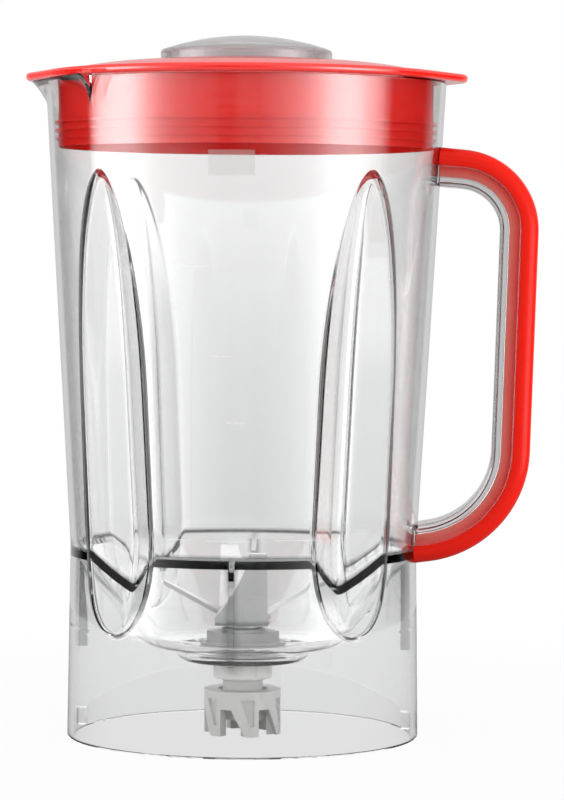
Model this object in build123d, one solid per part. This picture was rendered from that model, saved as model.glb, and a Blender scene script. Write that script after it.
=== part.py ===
from build123d import *
import os
from math import cos, radians, sin, tan

# Blender jar with its handle insert, lid, dosing cap and blade unit, in millimetres.
# +Z is up, along the blade axis, and the origin is on that axis in the plane of the rim the jar stands on.
# +X points at the handle, -X at the spout and -Y at the front.

# Jar wall: outside radii, heights and wall thickness
base_radius = 66.8
waist_radius = 65.8
mouth_radius = 75.8
waist_height = 72.0
jar_height = 248.0
skirt_wall = 2.4
mouth_wall = 1.9

# Flutes pressed into the wall, one each side of the front and one each side of the back
flute_spread = 42.6
flute_bottom = 43.0
flute_foot = 38.0
flute_shoulder = 130.0
flute_top = 213.4
flute_depth = 10.6
flute_slope = 26.5
flute_end_slope = 30.0
flute_valley_round = 5.0
flute_fade = 0.55

# Pouring spout
spout_reach = 7.4
spout_drop = 16.0
spout_slope = 23.5
spout_tip_round = 9.0

# Bowl floor: a steep side, a shallow bottom and a flat web in the middle that carries the blade unit
floor_wall = 2.4
bowl_height = 74.2
bowl_slope = 53.0
bowl_round = 12.0
dish_slope = 12.5
dish_height = 32.4
web_radius = 25.8
web_step_slope = 62.0
web_step_round = 2.0
web_height = 28.4

# Guide ribs and locking lugs inside the skirt
rib_count = 4
rib_bottom = 33.0
rib_depth = 3.3
rib_width = 2.0
lug_bottom = 3.1
lug_height = 6.3
lug_depth = 4.0
lug_width = 6.0

# Handle: centre line in the XZ plane and section across it
handle_top_root = 216.3
handle_top_reach = 104.3
handle_top_drop = 2.8
handle_low_reach = 100.3
handle_low_height = 78.7
handle_low_drop = 4.7
handle_top_bend = 23.0
handle_low_bend = 36.0
handle_depth = 14.5
handle_width = 24.0
channel_depth = 7.8
channel_floor = 3.2
channel_side = 2.6
channel_round = 2.6
crown_round = 4.6
insert_gap = 0.2

# Lid
lid_radius = 77.6
lid_tab_radius = 20.0
lid_tab_reach = 83.8
lid_plate = 3.0
lid_edge_round = 1.2
lid_under_round = 1.6
lid_wall = 2.0
lid_crown = 4.2
lid_land_radius = 36.6
lid_skirt_radius = 70.9
lid_skirt_depth = 25.4
seal_rib_count = 3
seal_rib_pitch = 3.05
seal_rib_top = 15.8
seal_rib_height = 0.8
seal_gap = 0.25
neck_bore = 26.6
neck_depth = 17.0

# Dosing cap
cap_flange_radius = 32.5
cap_side = 4.6
cap_crown = 5.6
cap_edge_round = 1.5
cap_wall = 2.0
cap_lip_radius = 33.7
cap_lip_height = 0.9
cap_groove_depth = 3.2
cap_web_width = 3.0
cap_web_bearing = 60.0
cap_gap = 0.4
cap_depth = 15.0

# Blade unit that stays with the jar
shaft_radius = 4.0
running_gap = 0.04
bush_wall = 2.0
press_gap = 0.02
stem_radius = 9.0
thread_gap = 0.1
stem_drop = 4.2
gasket_height = 1.2
flange_radius = 16.5
flange_height = 3.6
flange_round = 0.8
hex_flats = 24.0
hex_height = 4.6
turret_radius = 8.5
turret_height = 1.2
turret_round = 0.8
bush_length = 6.2
seal_height = 2.4
seal_wall = 2.6
nut_radius = 11.2
nut_height = 6.7
nut_grips = 12
nut_grip_radius = 1.0
nut_chamfer = 0.6

# Blades and the stack that turns with the shaft
rotor_gap = 0.3
washer_radius = 6.4
washer_height = 1.0
blade_spacer_height = 1.5
blade_thickness = 1.5
stud_radius = 3.0
stud_flats = 4.6
stud_gap = 0.05
steep_blade_reach = 19.5
steep_blade_rise = 27.5
steep_blade_hub = 9.5
steep_blade_width = 20.0
steep_blade_tip = 6.5
spread_blade_reach = 30.4
spread_blade_rise = 12.6
spread_blade_hub = 6.6
spread_blade_width = 12.0
spread_blade_tip = 5.0
blade_bend = 2.5
blade_hollow = 2.0
blade_nut_flats = 10.0
blade_nut_height = 3.6
blade_nut_dome = 2.2

# Drive coupling under the jar
coupling_radius = 14.6
coupling_bottom = 0.6
coupling_top = 17.6
coupling_ring_wall = 3.8
coupling_deck = 3.2
coupling_dish_radius = 9.4
coupling_dish_depth = 1.4
coupling_neck_radius = 7.6
coupling_hub_bottom = 6.0
tooth_count = 6
tooth_bearing = -61.0
window_top = 10.8
window_top_angle = 18.0
window_low_angle = 39.0
pocket_depth = 1.6
pocket_top = 14.6
pocket_low = 4.6
pocket_top_width = 5.4
pocket_low_width = 1.5
pocket_offset_angle = 18.0
coupling_insert_flats = 11.0
coupling_insert_length = 8.5

# Heights of the blade unit, each worked out from what it rests on
web_top = web_height + floor_wall
gasket_top = web_top + gasket_height
flange_top = gasket_top + flange_height
hex_top = flange_top + hex_height
turret_top = hex_top + turret_height
stem_bottom = web_height - stem_drop
nut_bottom = web_height - nut_height
washer_bottom = turret_top + rotor_gap
steep_blade_seat = washer_bottom + washer_height
spacer_seat = steep_blade_seat + blade_thickness
spread_blade_seat = spacer_seat + blade_spacer_height
blade_nut_seat = spread_blade_seat + blade_thickness
neck_top = stem_bottom - rotor_gap - washer_height
lid_top = jar_height + lid_plate
cap_seat = lid_top + lid_crown
housing_bore = shaft_radius + running_gap + bush_wall
far = 2 * mouth_radius
flat_tolerance = 0.001


def lathe(outline):
    """Solid turned about the blade axis from a closed outline of (radius, height)."""
    return revolve(Plane.XZ * make_face(outline), Axis.Z)


def disc(radius, low, high):
    """Plain round block about the blade axis."""
    return Pos(0, 0, low) * extrude(Circle(radius), high - low)


def ring(inner, outer, low, high):
    """Plain ring about the blade axis."""
    return Pos(0, 0, low) * extrude(Circle(outer) - Circle(inner), high - low)


def hexagon(flats, low, high):
    """Hexagonal prism about the blade axis, by its width across flats."""
    return Pos(0, 0, low) * extrude(RegularPolygon(flats / 2, 6, major_radius=False), high - low)


def wall_radius(height):
    """Outside radius of the jar above its waist."""
    share = (height - waist_height) / (jar_height - waist_height)
    return waist_radius + (mouth_radius - waist_radius) * share


def bore_radius(height):
    """Inside radius of the jar above its waist."""
    share = (height - waist_height) / (jar_height - waist_height)
    waist_bore = waist_radius - skirt_wall
    return waist_bore + (mouth_radius - mouth_wall - waist_bore) * share


def radial_plane(bearing):
    """Upright plane through the blade axis: local x runs outward, local y runs up."""
    turn = radians(bearing)
    return Plane(origin=(0, 0, 0), x_dir=(cos(turn), sin(turn), 0), z_dir=(sin(turn), -cos(turn), 0))


def outward_plane(bearing):
    """Upright plane through the blade axis that faces outward: local x runs along the rim, local y up."""
    turn = radians(bearing)
    return Plane(origin=(0, 0, 0), x_dir=(-sin(turn), cos(turn), 0), z_dir=(cos(turn), sin(turn), 0))


def crossing(first, second):
    """Point where two lines meet, each given as a radius, a height and a slope."""
    radius = (second[1] - first[1] + first[0] * first[2] - second[0] * second[2]) / (first[2] - second[2])
    return (radius, first[1] + (radius - first[0]) * first[2])


def keel_body(plane, outline, lean, reach, round_off, back):
    """Body that leans from both sides of an outline by lean along local x, with its keel rounded.

    It reaches out sideways from the outline by reach.

    Edges of the middle plane on the far side of back, a distance along local x, aren't part of the keel.
    """
    face = (plane * make_face(outline)).face()
    slant = plane.x_dir * tan(radians(lean))
    halves = [Solid.extrude(face, (slant + plane.z_dir * side) * reach) for side in (1, -1)]
    body = halves[0].fuse(halves[1]).clean()
    keel = []
    for edge in body.edges():
        points = [plane.to_local_coords(edge @ share) for share in (0, 0.5, 1)]
        in_plane = max(abs(point.Z) for point in points) < flat_tolerance
        nearest = min(point.X for point in points)
        if in_plane and (nearest - back) * lean < 0:
            keel.append(edge)
    return body.fillet(round_off, keel)


def flute(bearing, grow):
    """Cutter for one flute, opened by grow on every side for the inside of the wall."""
    shift = grow / cos(radians(flute_slope))
    rise = tan(radians(flute_end_slope))
    low = flute_bottom - grow
    high = flute_top + grow
    toe = (waist_radius, low)
    foot = (waist_radius - flute_depth - shift, low + flute_foot)
    shoulder = (wall_radius(flute_shoulder) - flute_depth - shift, flute_shoulder)
    tip = (wall_radius(flute_top), high)
    climb = flute_fade * (flute_top - flute_shoulder)
    draft = (shoulder[0] - foot[0]) / (shoulder[1] - foot[1])
    pull = flute_fade * flute_depth
    sinking = (toe[0] - flute_fade * (toe[0] - foot[0]), low)
    turning = (foot[0] - draft * flute_fade * flute_foot, foot[1] - flute_fade * flute_foot)
    bottom = Bezier(toe, sinking, turning, foot)
    valley = Line(foot, shoulder)
    rising = (shoulder[0] + draft * climb, shoulder[1] + climb)
    landing = (tip[0] - pull, tip[1] - pull * rise)
    fade = Bezier(shoulder, rising, landing, tip)
    back = Polyline(tip, (far, high + (far - tip[0]) * rise), (far, low), toe)
    outline = Curve() + [bottom, valley, fade, back]
    round_off = flute_valley_round + grow
    return keel_body(radial_plane(bearing), outline, flute_slope, base_radius, round_off, mouth_radius)


def flutes(grow):
    """Cutters for all flutes."""
    return [flute(middle + side * flute_spread, grow) for middle in (90, 270) for side in (-1, 1)]


def spout(shrink):
    """Flared lip at the -X side of the mouth, made smaller by shrink for its inside."""
    start_height = jar_height - spout_drop
    start = (wall_radius(start_height) - shrink, start_height)
    end = (mouth_radius + spout_reach - shrink / cos(radians(spout_slope)), jar_height)
    root = mouth_radius / 2
    flare = TangentArc(start, end, tangent=(mouth_radius - waist_radius, jar_height - waist_height))
    back = Polyline(end, (root, jar_height), (root, start_height), start)
    outline = Curve() + [flare, back]
    tangent_reach = end[0] * sin(radians(spout_slope)) * cos(radians(spout_slope))
    round_off = spout_tip_round - shrink
    return keel_body(radial_plane(180), outline, -spout_slope, tangent_reach, round_off, waist_radius)


def bowl_line(lift):
    """Profile of the bowl floor from the wall to the axis, lifted square to itself from the underside."""
    steep = tan(radians(bowl_slope))
    shallow = tan(radians(dish_slope))
    step = tan(radians(web_step_slope))
    top_radius = waist_radius - skirt_wall / 2
    top_height = bowl_height + (lift - floor_wall) / cos(radians(bowl_slope))
    side = (top_radius, top_height, steep)
    dish = (web_radius, dish_height + lift / cos(radians(dish_slope)), shallow)
    drop = (web_radius, dish_height + lift / cos(radians(web_step_slope)), step)
    web = (0, web_height + lift, 0)
    corners = [crossing(side, dish), crossing(dish, drop), crossing(drop, web)]
    rounds = [bowl_round - lift, web_step_round + lift, web_step_round + floor_wall - lift]
    return FilletPolyline(side[:2], *corners, web[:2], radius=rounds)


def bowl_floor():
    """Floor of the bowl with the flat web that carries the blade unit."""
    under = bowl_line(0)
    over = bowl_line(floor_wall)
    ends = [Line(under @ 0, over @ 0), Line(under @ 1, over @ 1)]
    return lathe(Curve() + [under, over] + ends)


def skirt_ribs():
    """Upright ribs inside the skirt that guide the jar onto its base, up to the underside of the bowl."""
    outer = waist_radius - skirt_wall / 2
    inner = waist_radius - skirt_wall - rib_depth
    steep = tan(radians(bowl_slope))
    top = bowl_height - floor_wall / 2 / cos(radians(bowl_slope))
    inner_top = top - (outer - inner) * steep
    outline = [(inner, rib_bottom), (outer, rib_bottom), (outer, top), (inner, inner_top)]
    shape = Polyline(*outline, close=True)
    pitch = 360 / rib_count
    planes = [radial_plane(pitch * index) for index in range(rib_count)]
    return [extrude(plane * make_face(shape), rib_width / 2, both=True) for plane in planes]


def locking_lugs():
    """Square lugs inside the foot of the skirt, under the handle and under the spout."""
    outer = base_radius - skirt_wall / 2
    inner = base_radius - skirt_wall - lug_depth
    block = Box(outer - inner, lug_width, lug_height, align=(Align.MIN, Align.CENTER, Align.MIN))
    return [Rot(0, 0, turn) * Pos(inner, 0, lug_bottom) * block for turn in (0, 180)]


def handle_path():
    """Centre line of the handle, from inside the wall at the top to inside the wall at the bottom."""
    top_root = (bore_radius(handle_top_root), 0, handle_top_root)
    top_bend = (handle_top_reach, 0, handle_top_root - handle_top_drop)
    low_bend = (handle_low_reach, 0, handle_low_height)
    low_root = (waist_radius - skirt_wall, 0, handle_low_height - handle_low_drop)
    return FilletPolyline(top_root, top_bend, low_bend, low_root, radius=[handle_top_bend, handle_low_bend])


def handle_sweep(section):
    """Section of (across, outward) swept along the handle."""
    path = handle_path()
    plane = Plane(origin=path @ 0, x_dir=(0, 1, 0), z_dir=path % 0)
    return sweep(plane * section, path=path)


def handle_channel():
    """Clear channel of the handle, open towards the outside."""
    low = -handle_depth / 2
    outside = Pos(0, low + channel_depth / 2) * Rectangle(handle_width, channel_depth)
    outside = fillet(outside.vertices().group_by(Axis.Y)[0], channel_round)
    slot_depth = channel_depth - channel_floor
    slot_width = handle_width - 2 * channel_side
    slot = Pos(0, low + channel_floor + slot_depth / 2) * Rectangle(slot_width, slot_depth)
    return handle_sweep(outside - slot)


def handle_insert():
    """Coloured grip strip: a stem in the channel and a rounded crown over its edges."""
    low = -handle_depth / 2
    crown_depth = handle_depth - channel_depth
    crown = Pos(0, low + channel_depth + crown_depth / 2) * Rectangle(handle_width, crown_depth)
    crown = fillet(crown.vertices().group_by(Axis.Y)[-1], crown_round)
    stem_depth = channel_depth - channel_floor - insert_gap
    stem_width = handle_width - 2 * channel_side - 2 * insert_gap
    stem = Pos(0, low + channel_depth - stem_depth / 2) * Rectangle(stem_width, stem_depth)
    strip = handle_sweep(crown + stem)
    return strip - wall_solid(insert_gap)


def wall_solid(grow):
    """Jar as a plain solid of its outside, larger by grow."""
    foot = (base_radius + grow, 0)
    waist = (waist_radius + grow, waist_height)
    rim = (mouth_radius + grow, jar_height)
    return lathe(Polyline((0, 0), foot, waist, rim, (0, jar_height), close=True))


def bore_solid():
    """Inside of the wall as a plain solid, from under the skirt to above the mouth."""
    foot_bore = base_radius - skirt_wall
    waist_bore = waist_radius - skirt_wall
    mouth_bore = mouth_radius - mouth_wall
    inside = [(foot_bore, 0), (waist_bore, waist_height), (mouth_bore, jar_height)]
    return lathe(Polyline((0, 0), *inside, (0, jar_height), close=True))


def jar_body():
    """Clear moulding: fluted wall, spout, bowl floor, skirt with ribs and lugs, and the handle channel."""
    outside = wall_solid(0) + spout(0) + handle_channel() - flutes(0)
    hollow = bore_solid() + spout(mouth_wall) - flutes(skirt_wall) - bowl_floor()
    jar = outside - hollow + skirt_ribs() + locking_lugs()
    return jar - disc(stem_radius + thread_gap, 0, web_top + floor_wall)


def lid():
    """Coloured lid: plate over mouth, spout and thumb tab, crowned top, sealing skirt and cap neck."""
    tabs = [Pos(side * (lid_tab_reach - lid_tab_radius), 0) * Circle(lid_tab_radius) for side in (1, -1)]
    outline = make_hull((Sketch() + Circle(lid_radius) + tabs).edges())
    plate = Pos(0, 0, jar_height) * extrude(outline, lid_plate)
    plate = fillet(plate.edges().group_by(Axis.Z)[-1], lid_edge_round)
    plate = fillet(plate.edges().group_by(Axis.Z)[0], lid_under_round)
    plate = plate - disc(lid_skirt_radius - lid_wall, jar_height, lid_top)
    neck_outer = neck_bore + lid_wall
    neck_low = cap_seat - neck_depth
    skirt_inner = lid_skirt_radius - lid_wall
    skirt_low = jar_height - lid_skirt_depth
    crown = TangentArc((lid_land_radius, cap_seat), (lid_skirt_radius, lid_top), tangent=(1, 0))
    lining_end = (skirt_inner, lid_top - lid_wall)
    lining = TangentArc((neck_outer, cap_seat - lid_wall), lining_end, tangent=(1, 0))
    skirt = Polyline(crown @ 1, (lid_skirt_radius, skirt_low), (skirt_inner, skirt_low), lining @ 1)
    neck = Polyline(lining @ 0, (neck_outer, neck_low), (neck_bore, neck_low), (neck_bore, cap_seat))
    land = Line(neck @ 1, crown @ 0)
    body = plate + lathe(Curve() + [crown, skirt, lining, neck, land])
    for index in range(seal_rib_count):
        top = jar_height - seal_rib_top - seal_rib_pitch * index
        low = top - seal_rib_height
        body += ring(skirt_inner, bore_radius(low) - seal_gap, low, top)
    return body


def dosing_cap():
    """Clear cap: domed top with a lipped side, a hollow plug in the neck and two webs between them."""
    plug = neck_bore - cap_gap
    hollow = plug - cap_wall
    side_top = cap_seat + cap_side
    plug_low = cap_seat - cap_depth
    apex = (0, side_top + cap_crown)
    dome = ThreePointArc((-cap_flange_radius, side_top), apex, (cap_flange_radius, side_top))
    half_dome = dome.trim(0.5, 1)
    side_inner = cap_flange_radius - cap_wall
    groove_top = cap_seat + cap_groove_depth
    lip_top = cap_seat + cap_lip_height
    lip = [(cap_flange_radius, lip_top), (cap_lip_radius, lip_top), (cap_lip_radius, cap_seat)]
    groove = [(side_inner, cap_seat), (side_inner, groove_top), (plug, groove_top)]
    vault_low = side_top - cap_wall / 2
    side = Polyline(half_dome @ 1, *lip, *groove, (plug, plug_low), (hollow, plug_low), (hollow, vault_low))
    vault = ThreePointArc((-hollow, vault_low), (0, side_top + cap_crown - cap_wall), side @ 1)
    half_vault = vault.trim(0.5, 1)
    axis = Line(half_vault @ 0, half_dome @ 0)
    cap = lathe(Curve() + [half_dome, side, half_vault, axis])
    rim = [edge for edge in cap.edges() if abs(edge.center().Z - side_top) < flat_tolerance]
    rim = [edge for edge in rim if edge.geom_type == GeomType.CIRCLE and edge.radius > plug]
    cap = fillet(rim, cap_edge_round)
    web = Box(side_inner - plug, cap_web_width, cap_groove_depth, align=(Align.MIN, Align.CENTER, Align.MIN))
    bearings = [270 + side * cap_web_bearing for side in (-1, 1)]
    return cap + [Rot(0, 0, bearing) * Pos(plug, 0, cap_seat) * web for bearing in bearings]


def blade_base():
    """Bearing housing: flange and hexagon in the bowl, turret above, threaded stem through the floor."""
    flange = disc(flange_radius, gasket_top, flange_top)
    flange = fillet(flange.edges().group_by(Axis.Z)[-1], flange_round)
    turret = disc(turret_radius, hex_top, turret_top)
    turret = fillet(turret.edges().group_by(Axis.Z)[-1], turret_round)
    housing = flange + hexagon(hex_flats, flange_top, hex_top) + turret
    housing += disc(stem_radius, stem_bottom, gasket_top)
    seal_seat = disc(shaft_radius + running_gap + seal_wall, turret_top - seal_height, turret_top)
    return housing - disc(housing_bore, stem_bottom, turret_top) - seal_seat


def retaining_nut():
    """Ring nut on the stem, under the floor, with finger grooves round its edge."""
    nut = ring(stem_radius + thread_gap, nut_radius, nut_bottom, web_height)
    low_rim = nut.edges().group_by(Axis.Z)[0].sort_by(SortBy.RADIUS)[-1]
    nut = chamfer(low_rim, nut_chamfer)
    groove = Pos(nut_radius + nut_grip_radius / 2, 0) * disc(nut_grip_radius, nut_bottom, web_height)
    return nut - [Rot(0, 0, 360 / nut_grips * index) * groove for index in range(nut_grips)]


def bush(low):
    """Plain bearing bush pressed into the housing."""
    return ring(shaft_radius + running_gap, housing_bore - press_gap, low, low + bush_length)


def shaft_seal():
    """Rubber seal in the top of the turret."""
    outer = shaft_radius + running_gap + seal_wall - press_gap
    return ring(shaft_radius + running_gap, outer, turret_top - seal_height, turret_top)


def double_flat(radius, flats):
    """Round section with two flats, square to X."""
    return Circle(radius) & Rectangle(flats, 2 * radius)


def bent_blade(reach, rise, hub, width, tip, seat):
    """Steel strip along X bent up at both ends, each wing hollowed on its leading side to a narrow tip."""
    corners = [(-reach, seat + rise), (-hub, seat), (hub, seat), (reach, seat + rise)]
    under = FilletPolyline(*corners, radius=blade_bend + blade_thickness)
    strip = under.offset_2d(blade_thickness, side=Side.LEFT)
    blade = extrude(Plane.XZ * make_face(strip), width / 2, both=True)
    slope = Vector(reach - hub, 0, rise).normalized()
    wing = Plane(origin=(hub, 0, seat), x_dir=slope, z_dir=(-slope.Z, 0, slope.X))
    length = Vector(reach - hub, 0, rise).length
    root = (blade_bend + blade_thickness, -width / 2)
    point = (length, width / 2 - tip)
    middle = ((root[0] + point[0]) / 2, (root[1] + point[1]) / 2 + blade_hollow)
    edge = ThreePointArc(root, middle, point)
    waste = Polyline(point, (length + tip, point[1]), (length + tip, -width), (root[0], -width), root)
    cut = extrude(wing * make_face(Curve() + [edge, waste]), width, both=True)
    return blade - [cut, Rot(0, 0, 180) * cut]


def stud_hole():
    """Flatted hole through the blades for the stud of the shaft."""
    hole = double_flat(stud_radius + stud_gap, stud_flats + 2 * stud_gap)
    return Pos(0, 0, steep_blade_seat) * extrude(hole, blade_nut_seat - steep_blade_seat)


def steep_blade():
    """Blade with steep wings at the front and the back."""
    shape = (steep_blade_reach, steep_blade_rise, steep_blade_hub, steep_blade_width, steep_blade_tip)
    return Rot(0, 0, 90) * bent_blade(*shape, steep_blade_seat) - stud_hole()


def spread_blade():
    """Blade with shallow wings towards the handle and the spout."""
    shape = (spread_blade_reach, spread_blade_rise, spread_blade_hub, spread_blade_width, spread_blade_tip)
    return bent_blade(*shape, spread_blade_seat) - stud_hole()


def drive_shaft():
    """Steel shaft with a shoulder under the blades and a flatted stud through them."""
    stud_top = blade_nut_seat + blade_nut_height
    stud = extrude(double_flat(stud_radius, stud_flats), stud_top - steep_blade_seat)
    stud = Pos(0, 0, steep_blade_seat) * stud
    return disc(shaft_radius, coupling_hub_bottom, steep_blade_seat) + stud


def washer(low):
    """Thrust washer on the shaft."""
    return ring(shaft_radius + running_gap, washer_radius, low, low + washer_height)


def blade_nut():
    """Domed nut that clamps the blades."""
    body = hexagon(blade_nut_flats, blade_nut_seat, blade_nut_seat + blade_nut_height)
    top = blade_nut_seat + blade_nut_height
    dome_radius = blade_nut_flats / 2
    arc = TangentArc((0, top + blade_nut_dome), (dome_radius, top), tangent=(1, 0))
    dome = lathe(Curve() + [arc, Polyline(arc @ 1, (0, top), arc @ 0)])
    return body + dome - disc(stud_radius + stud_gap, blade_nut_seat, top + stud_gap)


def drive_coupling():
    """Toothed coupling: hub on the shaft, deck, and a ring cut into sloped teeth with hollowed faces."""
    ring_inner = coupling_radius - coupling_ring_wall
    body = ring(ring_inner, coupling_radius, coupling_bottom, coupling_top)
    body += disc(coupling_radius, coupling_top - coupling_deck, coupling_top)
    body -= disc(coupling_dish_radius, coupling_top - coupling_dish_depth, coupling_top)
    body += disc(coupling_neck_radius, coupling_hub_bottom, neck_top)
    wide = coupling_radius * sin(radians(window_low_angle))
    narrow = coupling_radius * sin(radians(window_top_angle))
    window_side = [(narrow, window_top), (wide, coupling_bottom), (wide, 0)]
    window = Polyline((0, 0), (0, window_top), *window_side, close=True)
    half_top = pocket_top_width / 2
    pocket_points = [(-half_top, pocket_top), (half_top, pocket_top), (half_top, pocket_low)]
    pocket = Polyline(*pocket_points, (half_top - pocket_low_width, pocket_low), close=True)
    pitch = 360 / tooth_count
    for index in range(tooth_count):
        side = outward_plane(tooth_bearing + pitch * index)
        window_face = side.offset((coupling_neck_radius + ring_inner) / 2) * make_face(window)
        body -= extrude(window_face, coupling_radius)
        face = outward_plane(tooth_bearing + pitch * index - pocket_offset_angle)
        pocket_face = face.offset(coupling_radius - pocket_depth) * make_face(pocket)
        body -= extrude(pocket_face, coupling_radius)
    body -= disc(shaft_radius + running_gap, coupling_hub_bottom, neck_top)
    insert_top = coupling_hub_bottom + coupling_insert_length
    return body - hexagon(coupling_insert_flats + 2 * press_gap, coupling_hub_bottom, insert_top)


def coupling_insert():
    """Brass hexagon moulded into the coupling's hub and screwed on the shaft."""
    insert_top = coupling_hub_bottom + coupling_insert_length
    block = hexagon(coupling_insert_flats, coupling_hub_bottom, insert_top)
    return block - disc(shaft_radius + running_gap, coupling_hub_bottom, insert_top)


def main():
    """Write every piece to its own STEP file."""
    pieces = {
        "jar_body": jar_body(),
        "handle_insert": handle_insert(),
        "lid": lid(),
        "dosing_cap": dosing_cap(),
        "base_gasket": ring(stem_radius + thread_gap, flange_radius, web_top, gasket_top),
        "blade_base": blade_base(),
        "retaining_nut": retaining_nut(),
        "upper_bush": bush(turret_top - seal_height - bush_length),
        "lower_bush": bush(stem_bottom),
        "shaft_seal": shaft_seal(),
        "drive_shaft": drive_shaft(),
        "upper_washer": washer(washer_bottom),
        "lower_washer": washer(neck_top),
        "steep_blade": steep_blade(),
        "blade_spacer": ring(stud_radius + stud_gap, washer_radius, spacer_seat, spread_blade_seat),
        "spread_blade": spread_blade(),
        "blade_nut": blade_nut(),
        "drive_coupling": drive_coupling(),
        "coupling_insert": coupling_insert(),
    }
    os.makedirs("parts", exist_ok=True)
    for name, piece in pieces.items():
        export_step(piece, f"parts/{name}.step")


main()
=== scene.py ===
from math import atan2, ceil, cos, pi, radians, sin, tan

import bpy
import numpy as np
from mathutils import Matrix, Vector


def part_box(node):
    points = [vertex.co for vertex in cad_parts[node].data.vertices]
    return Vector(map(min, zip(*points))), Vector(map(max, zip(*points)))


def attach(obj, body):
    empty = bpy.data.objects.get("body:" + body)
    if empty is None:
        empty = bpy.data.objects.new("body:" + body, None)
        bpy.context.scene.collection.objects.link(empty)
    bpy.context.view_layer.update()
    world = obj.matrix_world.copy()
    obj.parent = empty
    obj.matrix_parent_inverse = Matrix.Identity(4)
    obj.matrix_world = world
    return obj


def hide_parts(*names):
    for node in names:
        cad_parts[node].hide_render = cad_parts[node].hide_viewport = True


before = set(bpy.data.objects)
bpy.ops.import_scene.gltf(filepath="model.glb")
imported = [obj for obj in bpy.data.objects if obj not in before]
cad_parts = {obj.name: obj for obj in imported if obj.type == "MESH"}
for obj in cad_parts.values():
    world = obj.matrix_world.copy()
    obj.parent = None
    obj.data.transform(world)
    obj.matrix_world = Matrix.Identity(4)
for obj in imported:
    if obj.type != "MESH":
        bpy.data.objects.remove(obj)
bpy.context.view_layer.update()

# Jar: one clear plastic moulding with a thin fluted wall, a pouring spout, a bowl floor and an open skirt.
# The handle's channel, the guide ribs and the locking lugs are moulded on, so all are joined into one mesh.
mm = 0.001
jar_low, jar_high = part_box("jar_body")
jar_height = jar_high.z
mouth_radius = jar_high.y
base_radius = mouth_radius - 9.0 * mm
waist_radius = mouth_radius - 10.0 * mm
waist_height = 72.0 * mm
skirt_wall = 2.4 * mm
mouth_wall = 1.9 * mm
rim_round = 0.5 * mm


def wall_radius(height):
    """Outside radius of the plain wall: straight from foot to waist and from waist to mouth."""
    return np.interp(height, [0, waist_height, jar_height], [base_radius, waist_radius, mouth_radius])


def wall_thickness(height):
    """Thickness of the wall, thinner towards the mouth."""
    return np.interp(height, [waist_height, jar_height], [skirt_wall, mouth_wall])


def rounded_line(corners, radii, turn_step=radians(5.0)):
    """Points along straight runs whose inner corners are rounded with arcs."""
    corners = [np.array(corner, float) for corner in corners]
    points = [corners[0]]
    for before, corner, after, radius in zip(corners, corners[1:], corners[2:], radii):
        arriving = (corner - before) / np.linalg.norm(corner - before)
        leaving = (after - corner) / np.linalg.norm(after - corner)
        turn = atan2(arriving[0] * leaving[1] - arriving[1] * leaving[0], float(arriving @ leaving))
        side = np.array((-arriving[1], arriving[0])) * np.sign(turn)
        centre = corner - arriving * radius * tan(abs(turn) / 2) + side * radius
        for angle in np.linspace(0, abs(turn), ceil(abs(turn) / turn_step) + 1):
            points.append(centre - side * radius * cos(angle) + arriving * radius * sin(angle))
    return np.array(points + [corners[-1]])


flute_spread = radians(42.6)
flute_bearings = np.array(
    [middle + side * flute_spread for middle in (pi / 2, 3 * pi / 2) for side in (-1, 1)])
flute_bottom = 43.0 * mm
flute_foot = 38.0 * mm
flute_shoulder = 130.0 * mm
flute_top = 213.4 * mm
flute_depth = 10.6 * mm
flute_slope = radians(26.5)
flute_end_slope = radians(30.0)
flute_valley_round = 5.0 * mm
flute_fade = 0.55
outer_flute_blend = 0.7 * mm
inner_flute_blend = 1.0 * mm
curve_points = 60
hair = 0.01 * mm


def bezier(*controls):
    """Points along a cubic curve with four control points."""
    share = np.linspace(0, 1, curve_points)[:, None]
    weights = [(1 - share) ** 3, 3 * share * (1 - share) ** 2, 3 * share ** 2 * (1 - share), share ** 3]
    return sum(weight * np.array(point) for weight, point in zip(weights, controls))


def flute_valley(grow):
    """Heights and radii of a flute's valley line, for a wall surface that lies grow further in."""
    shift = grow / cos(flute_slope)
    rise = tan(flute_end_slope)
    low = flute_bottom - grow
    toe = np.array((waist_radius, low))
    foot = np.array((waist_radius - flute_depth - shift, low + flute_foot))
    shoulder = np.array((wall_radius(flute_shoulder) - flute_depth - shift, flute_shoulder))
    tip = np.array((wall_radius(flute_top), flute_top + grow))
    upright = np.array(((shoulder[0] - foot[0]) / (shoulder[1] - foot[1]), 1))
    leaning = np.array((1, rise))
    sinking = toe - np.array((toe[0] - foot[0], 0)) * flute_fade
    bottom = bezier(toe, sinking, foot - upright * flute_fade * flute_foot, foot)
    rising = shoulder + upright * flute_fade * (flute_top - flute_shoulder)
    fade = bezier(shoulder, rising, tip - leaning * flute_fade * flute_depth, tip)
    below = (2 * waist_radius, low - hair)
    line = np.vstack([below, bottom, fade, tip + leaning * waist_radius])
    return line[:, 1], line[:, 0]


valley_lines = {False: flute_valley(0), True: flute_valley(skirt_wall)}
spout_drop = 16.0 * mm
spout_reach = -jar_low.x - mouth_radius
spout_slope = radians(23.5)
spout_tip_round = 9.0 * mm
spout_blend = 2.5 * mm
least_blend_share = 0.01
refinements = 8


def keel(across, slope, round_off):
    """How far two leaning sides have moved off their rounded keel at a distance across it."""
    arc = round_off / cos(slope) - np.sqrt(np.maximum(round_off ** 2 - across ** 2, 0))
    return np.where(np.abs(across) < round_off * sin(slope), arc, np.abs(across) * tan(slope))


def soft_least(first, second, blend):
    """The smaller of two values, with a round change from one to the other."""
    near = np.maximum(blend - np.abs(first - second), 0) / blend
    return np.minimum(first, second) - near ** 2 * blend / 4


def off_bearing(bearing, centre):
    """Angle from a centre bearing, between minus and plus half a turn."""
    return (bearing - centre + pi) % (2 * pi) - pi


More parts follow.
